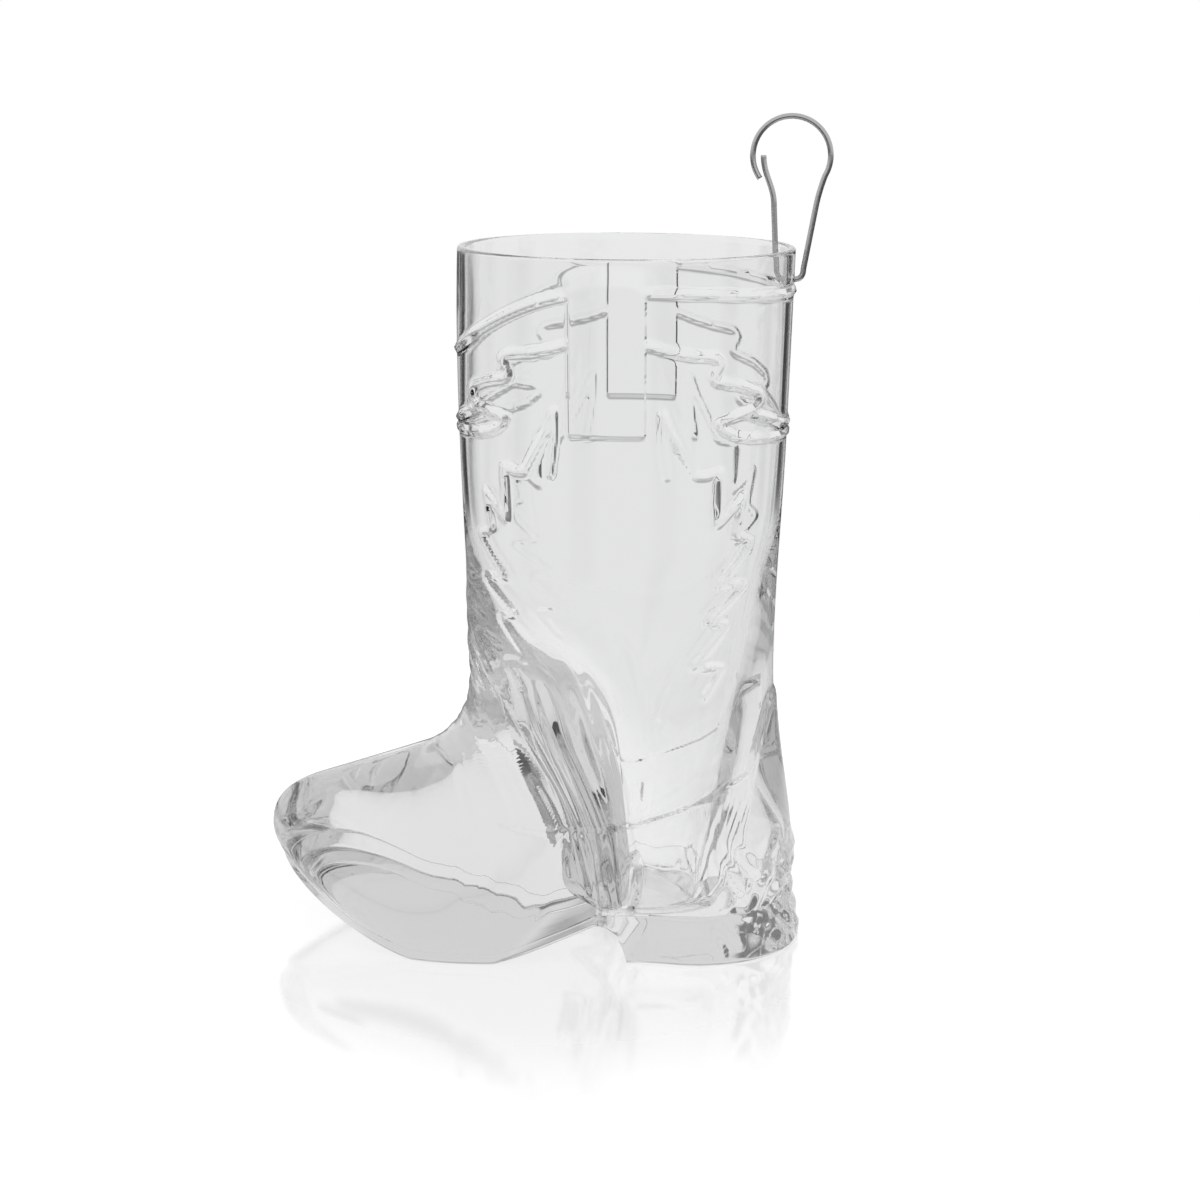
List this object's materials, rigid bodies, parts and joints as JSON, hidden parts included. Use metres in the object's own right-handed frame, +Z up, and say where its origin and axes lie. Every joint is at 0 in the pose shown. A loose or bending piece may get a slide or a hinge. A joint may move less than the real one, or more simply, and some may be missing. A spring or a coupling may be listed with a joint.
{
  "type": "boot shot cup",
  "caption": "Clear moulded western boot that stands on its sole and heel, holds a drink, and hangs by a sprung wire clip through its back wall.",
  "frame": {"origin": "on the ground, under the middle of the whole outline (boot and clip)", "axes": "+Z up the shaft, -X to the toe, +X to the heel and clip, Y across the boot"},
  "size_m": [0.0725, 0.035, 0.105],
  "materials": {
    "clear_plastic": "clear crystal polystyrene, glossy as moulded",
    "spring_steel": "bright drawn spring wire"
  },
  "bodies": {
    "boot": {"boot_cup": "clear_plastic"},
    "clip": {"hanging_clip": "spring_steel"}
  },
  "joints": [
    {"name": "clip_swing", "type": "hinge", "parent": "boot", "child": "clip", "pos_m": [0.0313, 0, 0.0851], "axis": [1, 0, 0], "range_deg": [-51, 51]}
  ]
}
